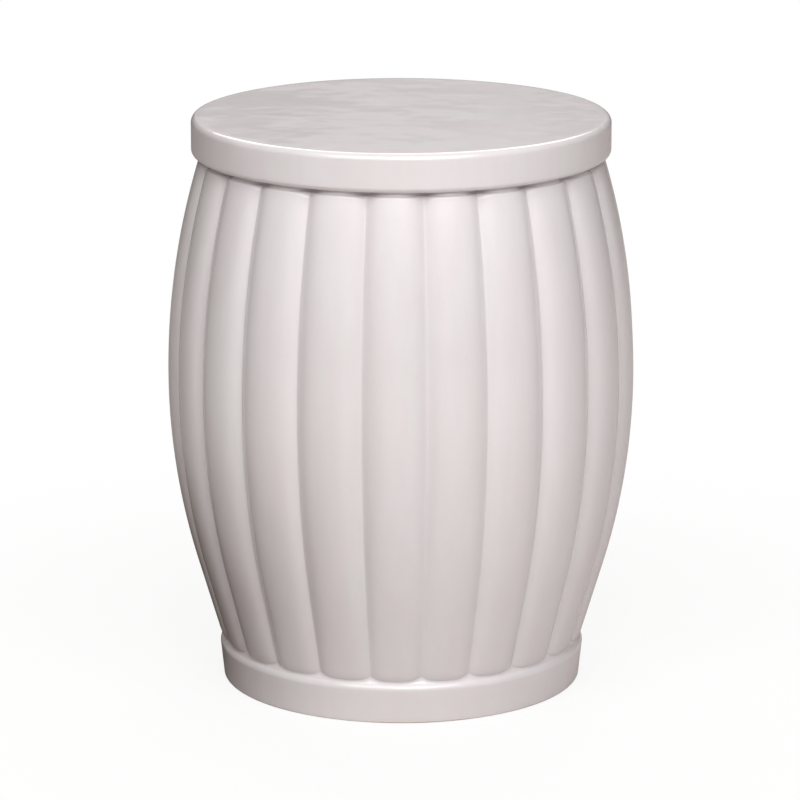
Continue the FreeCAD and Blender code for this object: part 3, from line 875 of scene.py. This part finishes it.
def make_stage():
    """A plain pale floor. The camera sees it almost white, with a faint shadow near the
    stool. The glaze reflects it as a duller floor, with a painted shadow by the stool's left foot."""
    material = bpy.data.materials.new("pale_floor")
    material.use_nodes = True
    tree = material.node_tree
    tree.nodes.clear()
    path = add(tree, "ShaderNodeLightPath")
    seen = Field(tree, path.outputs["Is Camera Ray"])
    place = add(tree, "ShaderNodeTexCoord").outputs["Object"]
    reach = add(tree, "ShaderNodeVectorMath", {"Vector": place}, operation="LENGTH")
    reach = Field(tree, reach.outputs["Value"])
    # Painted shadow: the floor that the glaze reflects and that bounces light is darkened by the
    # stool's left foot, fading out further away.
    left = banded(reach_along(tree, place, FLOOR_SHADOW_WAY), 0.0, 0.2)
    left = left * (banded(reach, 0.3, 0.8) * -FLOOR_SHADOW_FADE + 1)
    colour = blend_colours(tree, FLOOR_PALE, FLOOR_PAINTED_SHADOW, left)
    colour = blend_colours(tree, colour, FLOOR_SEEN, seen)
    matt = add(tree, "ShaderNodeBsdfDiffuse", {"Color": colour})
    white = add(tree, "ShaderNodeEmission", {"Color": WHITE, "Strength": 1.0})
    share = seen * (banded(reach, 0.22, 0.75) * SHADOW_SHARE + (1 - SHADOW_SHARE))
    both = add(tree, "ShaderNodeMixShader")
    feed(tree, share, both.inputs[0])
    tree.links.new(matt.outputs[0], both.inputs[1])
    tree.links.new(white.outputs[0], both.inputs[2])
    output = tree.nodes.new("ShaderNodeOutputMaterial")
    tree.links.new(both.outputs[0], output.inputs["Surface"])
    mesh = bmesh.new()
    bmesh.ops.create_grid(mesh, x_segments=8, y_segments=8, size=FLOOR_HALF_SIDE)
    data = bpy.data.meshes.new("floor")
    mesh.to_mesh(data)
    mesh.free()
    data.materials.append(material)
    floor = bpy.data.objects.new("floor", data)
    bpy.context.scene.collection.objects.link(floor)


def aim(item, target):
    """Turns a lamp to look at a point."""
    way = Vector(target) - item.location
    item.rotation_euler = way.to_track_quat("-Z", "Y").to_euler()


def make_lamp(name, azimuth, elevation, distance, width, height, power, colour):
    """A soft box aimed at the stool. Azimuth 0 is on the camera's side, and goes to its
    right."""
    data = bpy.data.lights.new(name, "AREA")
    data.shape = "RECTANGLE"
    data.size = width
    data.size_y = height
    data.energy = power
    data.color = colour
    lamp = bpy.data.objects.new(name, data)
    turn = math.radians(azimuth)
    rise = math.radians(elevation)
    flat = distance * math.cos(rise)
    up = LAMP_TARGET_HEIGHT + distance * math.sin(rise)
    lamp.location = (flat * math.sin(turn), -flat * math.cos(turn), up)
    aim(lamp, (0, 0, LAMP_TARGET_HEIGHT))
    bpy.context.scene.collection.objects.link(lamp)


def light_stool():
    """Soft studio light from the front and from behind. The room round the stool is dark
    on the left and dim on the right, and the camera sees it white."""
    for name, settings in LAMPS.items():
        make_lamp(name, **settings)
    world = bpy.data.worlds.new("surround")
    bpy.context.scene.world = world
    world.use_nodes = True
    tree = world.node_tree
    tree.nodes.clear()
    way = add(tree, "ShaderNodeTexCoord").outputs["Generated"]

    room = noise_field(tree, way, scale=2.2, distortion=0.8)
    colour = blend_colours(tree, ROOM_DIM, ROOM_PALE, banded(room, 0.3, 0.7))
    left = banded(reach_along(tree, way, ROOM_LEFT_WAY), 0.1, 0.8)
    colour = blend_colours(tree, colour, ROOM_LEFT, left)
    right = banded(reach_along(tree, way, ROOM_RIGHT_WAY), 0.35, 0.95)
    colour = blend_colours(tree, colour, ROOM_RIGHT, right)
    streak = noise_field(tree, stretched(tree, way, SHEEN_SHREDS), scale=1.0, detail=1.0)
    sheen = blend_colours(tree, SHEEN_DARK, SHEEN_PALE, banded(streak, 0.3, 0.7))
    patch = banded(reach_along(tree, way, SHEEN_WAY), 0.965, 0.99)
    colour = blend_colours(tree, colour, sheen, patch)
    soft = add(tree, "ShaderNodeBackground", {"Color": colour, "Strength": 1.0})
    white = add(tree, "ShaderNodeBackground", {"Color": WHITE, "Strength": 1.0})
    path = add(tree, "ShaderNodeLightPath")
    both = add(tree, "ShaderNodeMixShader")
    tree.links.new(path.outputs["Is Camera Ray"], both.inputs[0])
    tree.links.new(soft.outputs[0], both.inputs[1])
    tree.links.new(white.outputs[0], both.inputs[2])
    output = tree.nodes.new("ShaderNodeOutputWorld")
    tree.links.new(both.outputs[0], output.inputs["Surface"])


def place_camera():
    """The photograph's view: square to the front, from a little above and far off."""
    data = bpy.data.cameras.new("camera")
    data.sensor_width = CAMERA_SENSOR
    data.lens = CAMERA_LENS
    data.clip_end = CAMERA_FARTHEST
    camera = bpy.data.objects.new("camera", data)
    camera.location = CAMERA_PLACE
    camera.rotation_euler = (math.pi / 2 - CAMERA_DIP, 0, 0)
    bpy.context.scene.collection.objects.link(camera)
    bpy.context.scene.camera = camera


scene = bpy.context.scene
scene.view_settings.view_transform = "Standard"
place_camera()

glaze = make_glaze()
clay = make_clay("bare_fired_clay", *CLAY_COLOURS)
slip = make_clay("fired_slip", *SLIP_COLOURS)

barrel_shape = BarrelShape()
barrel_shape.build(glaze, clay)
barrel = barrel_shape.mesh("glazed_ribbed_barrel")
seat = make_seat(glaze, clay)
base = make_base(glaze, clay)
for piece, node in ((barrel, "ribbed_barrel"), (seat, "seat_disc"), (base, "base_ring")):
    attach(piece, "root")
    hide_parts(node)

for name in ("seat_slip_bed", "base_slip_bed", "seat_corner_coil", "base_corner_coil"):
    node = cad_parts[name]
    for socket in node.material_slots:
        socket.material = slip

make_stage()
light_stool()
